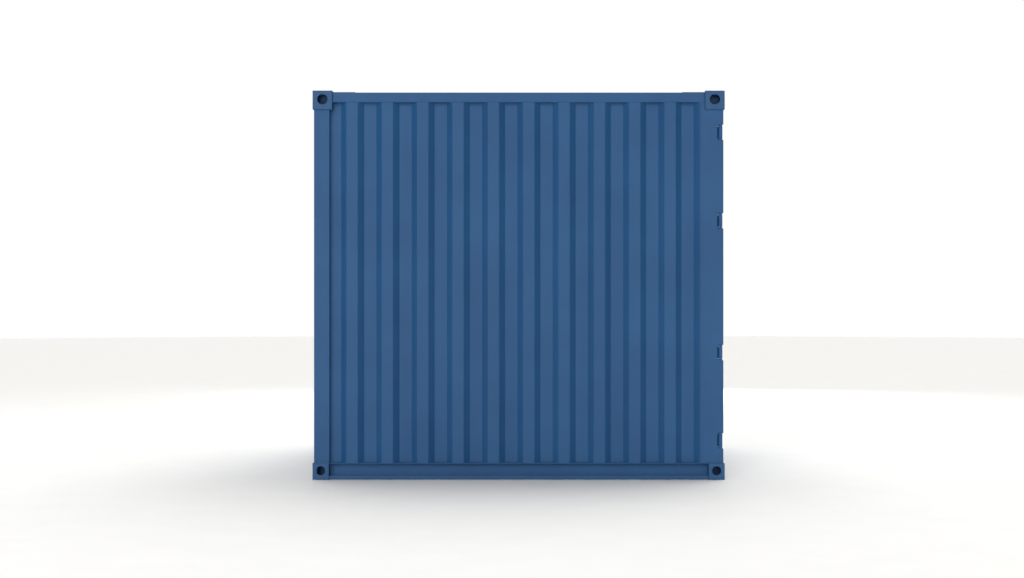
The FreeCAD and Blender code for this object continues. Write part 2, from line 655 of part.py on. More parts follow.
# Hinges: lugs and pin on the post, knuckle and blade on the leaf.
pin_x = end_x(door, "pin_end")
half_knuckle = "knuckle_height / 2"
for side in (left, right):
    pin_y = side_y(side, "pin_side")
    name = f"hinge_lugs_{side_names[side]}"
    hinges = []
    for height in hinge_heights:
        low_lug = f"{height} - {half_knuckle} - knuckle_gap - lug_thickness"
        high_lug = f"{height} + {half_knuckle} + knuckle_gap"
        pieces = [rod(f"{name}_pin", pin_x, pin_y, low_lug, "pin_radius",
                      "knuckle_height + 2 * knuckle_gap + 2 * lug_thickness")]
        for base in (low_lug, high_lug):
            pieces.append(rod(f"{name}_eye", pin_x, pin_y, base, "knuckle_radius", "lug_thickness"))
            pieces.append(corner_block(f"{name}_arm", door, side, ("pin_end", f"{door_face} + post_plate"),
                                       ("side_inset + post_plate", "pin_side + knuckle_radius"),
                                       (base, f"{base} + lug_thickness")))
        hinges.append(fuse(f"{name}_hinge", pieces))
    node(group(name, hinges), name)

    name = f"hinge_blades_{side_names[side]}"
    offset = "blade_thickness * sqrt(0.5)"
    half_offset = "blade_thickness * sqrt(0.125)"
    outer_face = f"{door_face} - blade_thickness"
    corners = [
        (f"pin_end - {half_offset}", f"pin_side + {half_offset}"),
        (outer_face, f"{outer_face} - pin_end + pin_side + {offset}"),
        (outer_face, f"{leaf_edge} + blade_overlap"),
        (door_face, f"{leaf_edge} + blade_overlap"),
        (door_face, f"{door_face} - pin_end + pin_side - {offset}"),
        (f"pin_end + {half_offset}", f"pin_side - {half_offset}"),
    ]
    points = [(end_x(door, u), side_y(side, v)) for u, v in corners]
    hinges = []
    for height in hinge_heights:
        base = f"{height} - {half_knuckle}"
        blade = prism(f"{name}_blade", "XY_Plane", points, base, "knuckle_height")
        knuckle = rod(f"{name}_knuckle", pin_x, pin_y, base, "knuckle_radius", "knuckle_height")
        bore = rod(f"{name}_bore", pin_x, pin_y, f"{base} - 1", "pin_radius + pin_clearance",
                   "knuckle_height + 2")
        hinges.append(cut(f"{name}_hinge", fuse(f"{name}_solid", [blade, knuckle]), [bore]))
    node(group(name, hinges), name)

# Door leaves: a frame, a corrugated panel inside it and a gasket round its edge.
leaf_u = (door_face, f"{door_face} + leaf_depth")
leaf_z = (leaf_base, leaf_top)
window_z = (f"{leaf_base} + leaf_rail_height", f"{leaf_top} - leaf_rail_height")
window_v = (f"{leaf_edge} + stile_width", f"{leaf_meeting} - stile_width")
for side in (left, right):
    name = f"door_frame_{side_names[side]}"
    frame = corner_block(f"{name}_block", door, side, leaf_u, (leaf_edge, leaf_meeting), leaf_z)
    window = corner_block(f"{name}_window", door, side, (f"{door_face} - 1", f"{leaf_u[1]} + 1"),
                          window_v, window_z)
    node(cut(name, frame, [window]), name)

    name = f"door_panel_{side_names[side]}"
    low_y, high_y = side_span(side, *window_v)
    waves = wave_run(f"{name}_sheet", f"({low_y} + panel_margin)", f"({high_y} - panel_margin)",
                     door_reach, "panel_depth", door_face, window_z, along_y)
    trough_u = (f"{door_face} + panel_depth", f"{door_face} + panel_depth + sheet")
    edges = [block(f"{name}_edge", end_span(door, *trough_u), (low_y, f"{low_y} + panel_margin"),
                   window_z),
             block(f"{name}_edge", end_span(door, *trough_u), (f"{high_y} - panel_margin", high_y),
                   window_z)]
    node(fuse(name, [waves] + edges), name)

    name = f"door_gasket_{side_names[side]}"
    back = f"{door_face} + leaf_depth + gasket_back"
    outer = corner_block(f"{name}_ring", door, side, (f"{leaf_u[1]} - gasket_depth", back),
                         (f"{leaf_edge} - gasket_flap", f"{leaf_meeting} + gasket_flap"),
                         (f"{leaf_base} - gasket_flap", f"{leaf_top} + gasket_flap"))
    leaf = corner_block(f"{name}_leaf", door, side, ("0", leaf_u[1]), (leaf_edge, leaf_meeting),
                        leaf_z)
    inside = corner_block(f"{name}_inside", door, side, ("0", f"{back} + 1"),
                          (f"{leaf_edge} + gasket_width", f"{leaf_meeting} - gasket_width"),
                          (f"{leaf_base} + gasket_width", f"{leaf_top} - gasket_width"))
    node(cut(name, outer, [leaf, inside]), name)

# Lock gear on each leaf: two rods with a cam at each end, their brackets, and the handles
# with their retainers. The rods stand in front of the panel's first and last outer flats,
# where the brackets seat, and each handle reaches an outer flat between them. The keepers
# stand on the sill and the header.
rod_top = "(box_height - rod_head)"
rod_x = end_x(door, rod_end)
saddle_radius = "(rod_radius + saddle_wall)"
bracket_heights = [f"({leaf_base} + leaf_rail_height / 2)",
                   f"({leaf_base} + 0.31 * ({leaf_top} - {leaf_base}))",
                   f"({leaf_base} + 0.69 * ({leaf_top} - {leaf_base}))",
                   f"({leaf_top} - leaf_rail_height / 2)"]
keepers = []


def behind_face(side, position, low, height):
    # What a round piece on a rod would push into the leaf.
    return corner_block("behind_face", door, side, (door_face, f"{door_face} + {saddle_radius}"),
                        (f"{position} - {saddle_radius} - 1", f"{position} + {saddle_radius} + 1"),
                        (f"{low} - 1", f"{low} + {height} + 1"))


for side in (left, right):
    rods = []
    saddles = []
    handles = []
    for position, height, way in ((rod_outer, "handle_high", 1), (rod_middle, "handle_low", -1)):
        axis_y = side_y(side, position)
        shaft = rod("lock_shaft", rod_x, axis_y, "rod_foot", "rod_radius", f"{rod_top} - rod_foot")
        cams = []
        for base in ("rod_foot", f"{rod_top} - cam_height"):
            cams.append(corner_block("lock_cam", door, side, (gear_front, f"{rod_end} + rod_radius"),
                                     (f"{position} - cam_width / 2", f"{position} + cam_width / 2"),
                                     (base, f"{base} + cam_height")))
            middle = f"({base} + cam_height / 2)"
            for sign in (-1, 1):
                near = f"{position} + {sign} * (cam_width / 2 + cam_gap)"
                far = f"{position} + {sign} * (cam_width / 2 + cam_gap + keeper_plate)"
                span = (near, far) if sign == 1 else (far, near)
                keepers.append(corner_block("keeper_cheek", door, side,
                                            (gear_front, door_frame_setback), span,
                                            (f"{middle} - keeper_height / 2",
                                             f"{middle} + keeper_height / 2")))
        rods.append(fuse("lock_rod", [shaft] + cams))
        for middle in bracket_heights:
            low = f"{middle} - saddle_height / 2"
            plate = corner_block("saddle_plate_block", door, side, (f"{door_face} - saddle_plate", door_face),
                                 (f"{position} - saddle_width / 2", f"{position} + saddle_width / 2"),
                                 (low, f"{low} + saddle_height"))
            strap = rod("saddle_strap", rod_x, axis_y, low, saddle_radius, "saddle_height")
            fill = corner_block("saddle_fill", door, side, (rod_end, door_face),
                                (f"{position} - {saddle_radius}", f"{position} + {saddle_radius}"),
                                (low, f"{low} + saddle_height"))
            bore = rod("saddle_bore", rod_x, axis_y, f"{low} - 1", "rod_radius + rod_fit",
                       "saddle_height + 2")
            behind = behind_face(side, position, low, "saddle_height")
            saddles.append(cut("saddle", fuse("saddle_solid", [plate, strap, fill]), [bore, behind]))
        hub_base = f"({height} - hub_height / 2)"
        hub = rod("handle_hub", rod_x, axis_y, hub_base, saddle_radius, "hub_height")
        near = f"{position}" if way == 1 else f"{position} - {handle_length}"
        far = f"{position} + {handle_length}" if way == 1 else f"{position}"
        bar = corner_block("handle_bar_block", door, side,
                           (gear_front, f"{gear_front} + handle_thickness"), (near, far),
                           (f"{height} - handle_bar / 2", f"{height} + handle_bar / 2"))
        bore = rod("handle_bore", rod_x, axis_y, f"{hub_base} - 1", "rod_radius", "hub_height + 2")
        behind = behind_face(side, position, hub_base, "hub_height")
        handles.append(cut("handle", fuse("handle_solid", [hub, bar]), [bore, behind]))
        tip = f"{position} + {way} * ({handle_length} - retainer_width)"
        handles.append(corner_block("handle_retainer", door, side,
                                    (f"{gear_front} + handle_thickness", door_face),
                                    (f"{tip} - retainer_width / 2", f"{tip} + retainer_width / 2"),
                                    (f"{height} - handle_bar", f"{height} + handle_bar")))
    tag = side_names[side]
    node(group(f"lock_rods_{tag}", rods), f"lock_rods_{tag}")
    node(group(f"rod_brackets_{tag}", saddles), f"rod_brackets_{tag}")
    node(group(f"lock_handles_{tag}", handles), f"lock_handles_{tag}")
node(group("cam_keepers", keepers), "cam_keepers")

doc.recompute()
faults = [item.Name for item in doc.Objects if {"Invalid", "Error"} & set(item.State)]
if faults:
    raise SystemExit(f"objects that failed to build: {faults}")
for item in nodes:
    if item.Shape.isNull() or not item.Shape.isValid():
        raise SystemExit(f"{item.Label} has no valid shape")

os.makedirs("parts", exist_ok=True)
for item in nodes:
    item.Shape.exportStep(f"parts/{item.Label}.step")
    box = item.Shape.BoundBox
    print(f"{item.Label}: {len(item.Shape.Solids)} solids, {item.Shape.Volume / 1e6:.2f} litres,"
          f" x {box.XMin:.1f} to {box.XMax:.1f}, y {box.YMin:.1f} to {box.YMax:.1f},"
          f" z {box.ZMin:.1f} to {box.ZMax:.1f}")
print(f"{len(nodes)} nodes")
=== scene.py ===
import json
import math

import bmesh
import bpy
from mathutils import Matrix, Vector


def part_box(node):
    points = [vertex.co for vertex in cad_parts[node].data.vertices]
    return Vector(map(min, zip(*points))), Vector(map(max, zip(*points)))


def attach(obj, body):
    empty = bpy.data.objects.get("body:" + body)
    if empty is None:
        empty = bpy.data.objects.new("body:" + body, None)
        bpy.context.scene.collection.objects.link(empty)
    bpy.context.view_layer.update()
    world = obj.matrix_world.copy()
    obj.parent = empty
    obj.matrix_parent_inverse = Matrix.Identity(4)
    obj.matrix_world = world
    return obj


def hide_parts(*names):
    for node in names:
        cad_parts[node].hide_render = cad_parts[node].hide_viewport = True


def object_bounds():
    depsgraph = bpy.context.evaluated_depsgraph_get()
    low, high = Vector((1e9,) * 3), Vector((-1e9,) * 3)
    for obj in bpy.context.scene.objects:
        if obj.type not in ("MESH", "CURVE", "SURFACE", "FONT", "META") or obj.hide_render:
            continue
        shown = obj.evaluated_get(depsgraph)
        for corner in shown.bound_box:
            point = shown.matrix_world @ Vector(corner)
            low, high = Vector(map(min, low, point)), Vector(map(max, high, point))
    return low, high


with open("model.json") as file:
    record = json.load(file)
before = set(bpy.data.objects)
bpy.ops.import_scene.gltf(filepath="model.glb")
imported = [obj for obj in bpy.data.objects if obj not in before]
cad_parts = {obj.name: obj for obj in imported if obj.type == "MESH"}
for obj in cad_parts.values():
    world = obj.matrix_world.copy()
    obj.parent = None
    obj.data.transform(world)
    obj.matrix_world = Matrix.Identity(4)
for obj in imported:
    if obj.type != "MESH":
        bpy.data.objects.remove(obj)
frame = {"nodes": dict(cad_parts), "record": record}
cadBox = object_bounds()
mm = 0.001
sides = {"left": -1, "right": 1}
ends = {"blind": -1, "door": 1}
xWay, yWay, zWay = (1, 0, 0), (0, 1, 0), (0, 0, 1)
# below these, points and levels count as one (both in mm), and two faces as flat (in degrees)
tolerance = {"point": 0.01, "level": 0.1, "flat": 0.6}


def linearColour(hexText):
    channels = [int(hexText[i:i + 2], 16) / 255 for i in (1, 3, 5)]
    linear = [c / 12.92 if c <= 0.04045 else ((c + 0.055) / 1.055) ** 2.4 for c in channels]
    return tuple(linear) + (1.0,)


def addNode(tree, kind, settings=None, links=None):
    # a setting whose name starts with a capital, or is a number, is a socket of the node
    node = tree.nodes.new(kind)
    for name, value in (settings or {}).items():
        if isinstance(name, int) or name[0].isupper():
            node.inputs[name].default_value = value
        else:
            setattr(node, name, value)
    for name, source in (links or {}).items():
        tree.links.new(source, node.inputs[name])
    return node


def newMaterial(name):
    material = bpy.data.materials.new(name)
    material.use_nodes = True
    tree = material.node_tree
    tree.nodes.clear()
    coords = addNode(tree, "ShaderNodeTexCoord").outputs["Object"]
    return material, tree, coords


def surface(tree, settings, links):
    shader = addNode(tree, "ShaderNodeBsdfPrincipled", settings, links)
    addNode(tree, "ShaderNodeOutputMaterial", links={"Surface": shader.outputs["BSDF"]})


def finishPiece(bm, name, body, material, smoothAngle=35, weighted=True):
    # the mesh becomes an object at the origin that rides on its body; edges up to the angle are
    # smooth, and weighted keeps the large flat faces flat beside their rounded edges
    for face in bm.faces:
        face.smooth = True
    for edge in bm.edges:
        edge.smooth = edge.calc_face_angle(math.pi) < math.radians(smoothAngle)
    mesh = bpy.data.meshes.new(name)
    bm.to_mesh(mesh)
    bm.free()
    mesh.materials.append(material)
    piece = bpy.data.objects.new(name, mesh)
    bpy.context.scene.collection.objects.link(piece)
    if weighted:
        piece.modifiers.new("faceNormals", "WEIGHTED_NORMAL").keep_sharp = True
    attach(piece, body)
    return piece


def thicken(piece, thickness):
    # gives a sheet its thickness behind the face that shows, and flat faces their own normals
    solid = piece.modifiers.new("sheetThickness", "SOLIDIFY")
    solid.thickness = thickness * mm
    solid.offset = -1
    piece.modifiers.new("faceNormals", "WEIGHTED_NORMAL").keep_sharp = True


def nodeMesh(node):
    # a merged copy of a CAD node's mesh, with its flat faces whole again
    bm = bmesh.new()
    bm.from_mesh(frame["nodes"][node].data)
    bmesh.ops.remove_doubles(bm, verts=bm.verts, dist=tolerance["point"] * mm)
    bmesh.ops.dissolve_limit(bm, angle_limit=math.radians(tolerance["flat"]), verts=bm.verts,
                             edges=bm.edges)
    return bm


def nodeParts(node):
    # the lowest and highest corners of each loose part of a CAD node
    bm = nodeMesh(node)
    waiting = set(bm.verts)
    parts = []
    while waiting:
        front = [waiting.pop()]
        places = []
        while front:
            vert = front.pop()
            places.append(vert.co.copy())
            for edge in vert.link_edges:
                other = edge.other_vert(vert)
                if other in waiting:
                    waiting.remove(other)
                    front.append(other)
        parts.append((Vector(map(min, zip(*places))), Vector(map(max, zip(*places)))))
    bm.free()
    return sorted(parts, key=lambda part: (round(part[0].z, 3), part[0].y))


def roundEdges(bm, size, segments=2, angle=40, pick=None):
    # bevels every edge sharper than the angle, or those of them that pick() takes
    edges = []
    for edge in bm.edges:
        if len(edge.link_faces) == 2 and edge.calc_face_angle(0) > math.radians(angle):
            if pick is None or pick(edge):
                edges.append(edge)
    bmesh.ops.bevel(bm, geom=edges, offset=size * mm, offset_type="OFFSET", affect="EDGES",
                    segments=segments, profile=0.5, material=-1, clamp_overlap=True)


def cutAcross(bm, point, normal):
    # cuts every face along a plane, and keeps both sides
    geom = list(bm.verts) + list(bm.edges) + list(bm.faces)
    bmesh.ops.bisect_plane(bm, geom=geom, plane_co=point, plane_no=normal)


def addBlock(bm, corner, opposite, edge, segments=2):
    # a block between two opposite corners, with its edges rounded
    centre = (Vector(corner) + Vector(opposite)) / 2
    spread = [abs(a - b) for a, b in zip(corner, opposite)]
    matrix = Matrix.Translation(centre) @ Matrix.Diagonal((*spread, 1))
    made = bmesh.ops.create_cube(bm, size=1, matrix=matrix)
    edges = {e for vert in made["verts"] for e in vert.link_edges}
    bmesh.ops.bevel(bm, geom=list(edges), offset=min(edge * mm, 0.45 * min(spread)),
                    offset_type="OFFSET", affect="EDGES", segments=segments, profile=0.5,
                    material=-1, clamp_overlap=True)


def addDisc(bm, centre, axis, radius, height, count, edge=0, headRadius=None):
    # a short cylinder that stands on its centre point, its free end rounded or smaller; sizes in mm
    radius, height, edge = radius * mm, height * mm, edge * mm
    turn = Vector(zWay).rotation_difference(Vector(axis)).to_matrix().to_4x4()
    matrix = Matrix.Translation(Vector(centre) + Vector(axis) * height / 2) @ turn
    top = radius if headRadius is None else headRadius * mm
    made = bmesh.ops.create_cone(bm, cap_ends=True, segments=count, radius1=radius, radius2=top,
                                 depth=height, matrix=matrix)
    if edge:
        level = (Vector(centre) + Vector(axis) * height).dot(Vector(axis))
        rim = {e for vert in made["verts"] for e in vert.link_edges
               if all(abs(v.co.dot(Vector(axis)) - level) < tolerance["point"] * mm for v in e.verts)}
        bmesh.ops.bevel(bm, geom=list(rim), offset=edge, offset_type="OFFSET", affect="EDGES",
                        segments=2, profile=0.5, material=-1, clamp_overlap=True)


def addBolts(bm, places, axis, size):
    # hexagon heads on washers
    for place in places:
        addDisc(bm, place, axis, size["washer"], size["washerHeight"], count=16, edge=0.3)
        onWasher = Vector(place) + Vector(axis) * size["washerHeight"] * mm
        addDisc(bm, onWasher, axis, size["head"], size["headHeight"], count=6, edge=0.8)


def addBeads(bm, runs, radius, closed=False):
    # weld beads: round bars along the runs, half sunk in the joint
    curve = bpy.data.curves.new("bead", "CURVE")
    curve.dimensions = "3D"
    curve.bevel_depth = radius * mm
    curve.bevel_resolution = 1
    curve.use_fill_caps = True
    for run in runs:
        spline = curve.splines.new("POLY")
        spline.points.add(len(run) - 1)
        spline.use_cyclic_u = closed
        for point, place in zip(spline.points, run):
            point.co = (*place, 1)
    holder = bpy.data.objects.new("bead", curve)
    mesh = bpy.data.meshes.new_from_object(holder)
    bm.from_mesh(mesh)
    bpy.data.objects.remove(holder)
    bpy.data.curves.remove(curve)
    bpy.data.meshes.remove(mesh)


def finishWelds(bm, name, body):
    finishPiece(bm, name, body, beadPaint, 60, weighted=False)


# container blue, and how far it drifts between passes and over castings
paint = {"base": "#134e7f", "light": "#155182", "dark": "#124b7c", "cast": "#134b79"}


def containerPaint(name, rough=0.6, dentSize=260, dentDepth=0.25, grainSize=9, grainDepth=0.04,
                   shades=("dark", "base", "light")):
    # two-pack polyurethane sprayed over zinc primer on blasted steel: one even satin colour,
    # hardly cloudy between passes, with soft orange peel on slightly wavy sheet
    material, tree, coords = newMaterial(name)
    cloud = addNode(tree, "ShaderNodeTexNoise", {"Scale": 1000 / 420, "Detail": 3.0},
                    {"Vector": coords})
    ramp = addNode(tree, "ShaderNodeValToRGB", links={"Fac": cloud.outputs["Fac"]})
    ramp.color_ramp.elements.new(0.5)
    for element, place, shade in zip(ramp.color_ramp.elements, (0.35, 0.5, 0.65), shades):
        element.position = place
        element.color = linearColour(paint[shade])
    # the real orange peel is about 2 mm across and is drawn coarser, so that it shows
    peel = addNode(tree, "ShaderNodeTexNoise", {"Scale": 1000 / grainSize, "Detail": 2.0},
                   {"Vector": coords})
    sheen = addNode(tree, "ShaderNodeMapRange",
                    {"From Min": 0.3, "From Max": 0.7, "To Min": rough - 0.04, "To Max": rough + 0.04},
                    {"Value": peel.outputs["Fac"]})
    dents = addNode(tree, "ShaderNodeTexNoise", {"Scale": 1000 / dentSize, "Detail": 1.0},
                    {"Vector": coords})
    wave = addNode(tree, "ShaderNodeBump", {"Strength": 1.0, "Distance": dentDepth * mm},
                   {"Height": dents.outputs["Fac"]})
    grain = addNode(tree, "ShaderNodeBump", {"Strength": 1.0, "Distance": grainDepth * mm},
                    {"Height": peel.outputs["Fac"], "Normal": wave.outputs["Normal"]})
    surface(tree, {"IOR": 1.5}, {"Base Color": ramp.outputs["Color"], "Roughness": sheen.outputs["Result"],
                                 "Normal": grain.outputs["Normal"]})
    return material


def noisyFinish(name, shades, size, detail, roughness, depth, settings, stretch=(1, 1, 1)):
    # one noise drives the colour between two shades, the roughness and the bump
    material, tree, coords = newMaterial(name)
    stretched = addNode(tree, "ShaderNodeMapping", {"Scale": stretch}, {"Vector": coords})
    noise = addNode(tree, "ShaderNodeTexNoise", {"Scale": 1000 / size, "Detail": detail},
                    {"Vector": stretched.outputs["Vector"]})
    ramp = addNode(tree, "ShaderNodeValToRGB", links={"Fac": noise.outputs["Fac"]})
    for element, place, shade in zip(ramp.color_ramp.elements, (0.3, 0.7), shades):
        element.position = place
        element.color = linearColour(shade)
    rough = addNode(tree, "ShaderNodeMapRange", {"From Min": 0.3, "From Max": 0.7,
                                                 "To Min": roughness[0], "To Max": roughness[1]},
                    {"Value": noise.outputs["Fac"]})
    bump = addNode(tree, "ShaderNodeBump", {"Strength": 1.0, "Distance": depth * mm},
                   {"Height": noise.outputs["Fac"]})
    surface(tree, settings, {"Base Color": ramp.outputs["Color"], "Roughness": rough.outputs["Result"],
                             "Normal": bump.outputs["Normal"]})
    return material


def galvanisedSteel():
    # hot-dip galvanised tube and forgings: dull zinc, its spangle crystals 8 to 15 mm across
    material, tree, coords = newMaterial("galvanisedSteel")
    crystals = addNode(tree, "ShaderNodeTexVoronoi", {"Scale": 1000 / 12}, {"Vector": coords})
    grey = addNode(tree, "ShaderNodeSeparateColor", links={"Color": crystals.outputs["Color"]})
    ramp = addNode(tree, "ShaderNodeValToRGB", links={"Fac": grey.outputs["Red"]})
    for element, shade in zip(ramp.color_ramp.elements, ("#989c9e", "#acb0b2")):
        element.color = linearColour(shade)
    rough = addNode(tree, "ShaderNodeMapRange", {"To Min": 0.34, "To Max": 0.5},
                    {"Value": grey.outputs["Green"]})
    runs = addNode(tree, "ShaderNodeTexNoise", {"Scale": 1000 / 16, "Detail": 4.0}, {"Vector": coords})
    bump = addNode(tree, "ShaderNodeBump", {"Strength": 1.0, "Distance": 0.2 * mm},
                   {"Height": runs.outputs["Fac"]})
    surface(tree, {"Metallic": 1.0}, {"Base Color": ramp.outputs["Color"],
                                      "Roughness": rough.outputs["Result"],
                                      "Normal": bump.outputs["Normal"]})
    return material


def floorPlywood():
    # keruing plywood, sanded and oiled: red-brown, with a long grain along the container
    material, tree, coords = newMaterial("keruingPlywood")
    stretched = addNode(tree, "ShaderNodeMapping", {"Scale": (1, 14, 14)}, {"Vector": coords})
    grain = addNode(tree, "ShaderNodeTexNoise", {"Scale": 1000 / 180, "Detail": 8.0, "Roughness": 0.65},
                    {"Vector": stretched.outputs["Vector"]})
    sheets = addNode(tree, "ShaderNodeTexNoise", {"Scale": 1000 / 900}, {"Vector": coords})
    both = addNode(tree, "ShaderNodeMath", {"operation": "MULTIPLY_ADD", 1: 0.5},
                   {0: sheets.outputs["Fac"], 2: grain.outputs["Fac"]})
    ramp = addNode(tree, "ShaderNodeValToRGB", links={"Fac": both.outputs["Value"]})
    for element, place, shade in zip(ramp.color_ramp.elements, (0.5, 0.95), ("#4a2c1b", "#98683f")):
        element.position = place
        element.color = linearColour(shade)
    rough = addNode(tree, "ShaderNodeMapRange", {"To Min": 0.45, "To Max": 0.7},
                    {"Value": grain.outputs["Fac"]})
    bump = addNode(tree, "ShaderNodeBump", {"Strength": 1.0, "Distance": 0.4 * mm},
                   {"Height": grain.outputs["Fac"]})
    surface(tree, {"IOR": 1.5}, {"Base Color": ramp.outputs["Color"], "Roughness": rough.outputs["Result"],
                                 "Normal": bump.outputs["Normal"]})
    return material


print("materials")
sheetPaint = containerPaint("paintedCorrugatedSheet")
sectionPaint = containerPaint("paintedPressedSection", dentSize=500, dentDepth=0.15)
# sand-cast steel under the same paint keeps a pebbly skin, about 3 mm across, drawn at 6
castPaint = containerPaint("paintedCastSteel", rough=0.52, dentSize=60, dentDepth=0.3, grainSize=6,
                           grainDepth=0.25, shades=("dark", "cast", "base"))
# the ripples of a hand-laid bead are about 3 mm apart
beadPaint = containerPaint("paintedWeldBead", dentSize=14, dentDepth=0.5, grainSize=3, grainDepth=0.35)
zinc = galvanisedSteel()
# extruded EPDM: matt black, a little greyer where it has bloomed
rubber = noisyFinish("epdmRubber", ("#121315", "#232528"), 30, 4.0, (0.55, 0.75), 0.15, {"IOR": 1.52})
# bitumen put on by brush: almost black, lumpy, half glossy
underseal = noisyFinish("bitumenUnderseal", ("#12110e", "#27251f"), 20, 4.0, (0.38, 0.66), 0.7,
                        {"IOR": 1.55})
# rolled steel of the floor's middle strip, worn bright by loading
wornSteel = noisyFinish("wornMildSteel", ("#5d5f60", "#8a8b8a"), 40, 6.0, (0.3, 0.55), 0.1,
                        {"Metallic": 1.0}, (0.2, 1, 1))
plywood = floorPlywood()

paintOf = {"casting_paint": castPaint, "frame_paint": sectionPaint, "wall_paint": sheetPaint,
           "galvanised_steel": zinc, "door_seal_rubber": rubber, "floor_plywood": plywood,
           "underseal": underseal}
slotOf = {item["node"]: item["material_slot"] for item in frame["record"]["subparts"]}
bodyOf = {node: body for body, nodes in frame["record"]["behaviour"]["bodies"].items()
          for node in nodes}


# sizes are in millimetres throughout; the sheet is folded to the CAD walls' own profile
waves = {"outerFlat": 75, "innerFlat": 82, "slope": 39.2, "depth": 36, "sheet": 2, "bend": 8}
sideWall = dict(waves, leadFlat=32.8, tailFlat=7)
endWall = dict(waves, leadFlat=0, tailFlat=0)
doorSheet = dict(waves, leadFlat=20, tailFlat=20)
# radii of the weld beads
beads = {"sheet": 2.5, "seam": 1.6, "frame": 3.5, "light": 2.0, "blade": 2.5}


def waveCorners(sizes, length, endsOut):
    # corners of the folded sheet: distance along the wall and depth behind its outer face;
    # endsOut ends it on an outer flat, which is then welded to the post
    half = sizes["innerFlat"] / 2
    tail = sizes["tailFlat"] + (half + sizes["slope"] if endsOut else 0)
    run = length / mm - sizes["leadFlat"] - tail
    count = round(run / (sizes["outerFlat"] + sizes["innerFlat"] + 2 * sizes["slope"]))
    pitch = run / count
    slope = (pitch - sizes["outerFlat"] - sizes["innerFlat"]) / 2
    deep = sizes["depth"]
    corners = [(0, deep)]
    for index in range(count):
        foot = sizes["leadFlat"] + index * pitch + half
        crest = foot + slope
        fall = crest + sizes["outerFlat"]
        corners += [(foot, deep), (crest, 0), (fall, 0), (fall + slope, deep)]
    if endsOut:
        end = sizes["leadFlat"] + run + half
        corners += [(end, deep), (end + sizes["slope"], 0), (length / mm, 0)]
    else:
        corners += [(length / mm, deep)]
    return [(along * mm, behind * mm) for along, behind in corners]


def wallOf(node, outward):
    # a wall's first corner on its outer face, its length, and the ways along and behind that face
    low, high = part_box(node)
    start = Vector([top if way > 0 else base for base, top, way in zip(low, high, outward)])
    along = Vector((abs(outward[1]), abs(outward[0]), 0))
    return {"start": start, "along": along, "behind": -Vector(outward), "low": low.z, "high": high.z,
            "length": (high - low).dot(along)}


def levelRun(wall, corners, height):
    # the folded line at one height
    places = [wall["start"] + wall["along"] * along + wall["behind"] * behind for along, behind in corners]
    return [(place.x, place.y, height) for place in places]


def uprightRun(wall, corner, low, high):
    # the line up one corner of the fold
    return levelRun(wall, [corner], low) + levelRun(wall, [corner], high)


def foldedSheet(node, sizes, outward, endsOut=False):
    # the folded line at the sheet's foot is drawn up to its full height, and its folds are rounded
    wall = wallOf(node, outward)
    corners = waveCorners(sizes, wall["length"], endsOut)
    bm = bmesh.new()
    foot = [bm.verts.new(place) for place in levelRun(wall, corners, wall["low"])]
    line = [bm.edges.new(pair) for pair in zip(foot, foot[1:])]
    raised = bmesh.ops.extrude_edge_only(bm, edges=line)
    moved = [item for item in raised["geom"] if isinstance(item, bmesh.types.BMVert)]
    bmesh.ops.translate(bm, verts=moved, vec=(0, 0, wall["high"] - wall["low"]))
    bm.normal_update()
    if sum(face.normal.dot(Vector(outward)) * face.calc_area() for face in bm.faces) < 0:
        bmesh.ops.reverse_faces(bm, faces=bm.faces)
    folds = [edge for edge in bm.edges if len(edge.link_faces) == 2]
    turn = math.atan2(sizes["depth"], sizes["slope"]) / 2
    bmesh.ops.bevel(bm, geom=folds, offset=sizes["bend"] * mm * math.tan(turn), offset_type="OFFSET",
                    affect="EDGES", segments=3, profile=0.5, material=-1, clamp_overlap=True)
    return bm, wall, corners


def cutForCastings(bm, planes, inCasting):
    # takes away the sheet that would pass through an upper casting
    for point, normal in planes:
        cutAcross(bm, point, normal)
    inside = [face for face in bm.faces if inCasting(face.calc_center_median())]
    bmesh.ops.delete(bm, geom=inside, context="FACES")


def finishSheet(bm, name, node, sizes):
    piece = finishPiece(bm, name, bodyOf[node], sheetPaint, 25, weighted=False)
    thicken(piece, sizes["sheet"])
    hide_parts(node)


print("walls")
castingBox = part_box("casting_top_blind_right")
castingCorner = Vector((castingBox[1].x, 0, castingBox[0].z))
castingSide = castingBox[0].y


def inSideCasting(place):
    return place.x < castingCorner.x and place.z > castingCorner.z


def inEndCasting(place):
    return abs(place.y) > castingSide and place.z > castingCorner.z


def corrugatedSide(side, sign):
    node = f"side_wall_{side}"
    bm, wall, corners = foldedSheet(node, sideWall, (0, sign, 0), endsOut=True)
    cutForCastings(bm, [(castingCorner, xWay), (castingCorner, zWay)], inSideCasting)
    finishSheet(bm, f"corrugatedSide_{side}", node, sideWall)
    bm = bmesh.new()
    addBeads(bm, [levelRun(wall, corners, wall["low"]),
                  levelRun(wall, corners[1:], wall["high"]),
                  uprightRun(wall, corners[0], wall["low"], castingCorner.z)], beads["sheet"])
    addBeads(bm, [uprightRun(wall, corners[-1], wall["low"], wall["high"])], beads["seam"])
    finishWelds(bm, f"sideWelds_{side}", "container")


def corrugatedEnd():
    bm, wall, corners = foldedSheet("end_wall", endWall, (-1, 0, 0))
    cutForCastings(bm, [((0, -castingSide, 0), yWay), ((0, castingSide, 0), yWay),
                        (castingCorner, zWay)], inEndCasting)
    finishSheet(bm, "corrugatedEnd", "end_wall", endWall)
    between = [corner for corner in corners if abs(wall["start"].y + corner[0]) < castingSide]
    bm = bmesh.new()
    addBeads(bm, [levelRun(wall, corners, wall["low"]),
                  levelRun(wall, between, wall["high"]),
                  uprightRun(wall, corners[0], wall["low"], castingCorner.z),
                  uprightRun(wall, corners[-1], wall["low"], castingCorner.z)], beads["sheet"])
    finishWelds(bm, "endWelds", "container")


for side, sign in sides.items():
    corrugatedSide(side, sign)
corrugatedEnd()


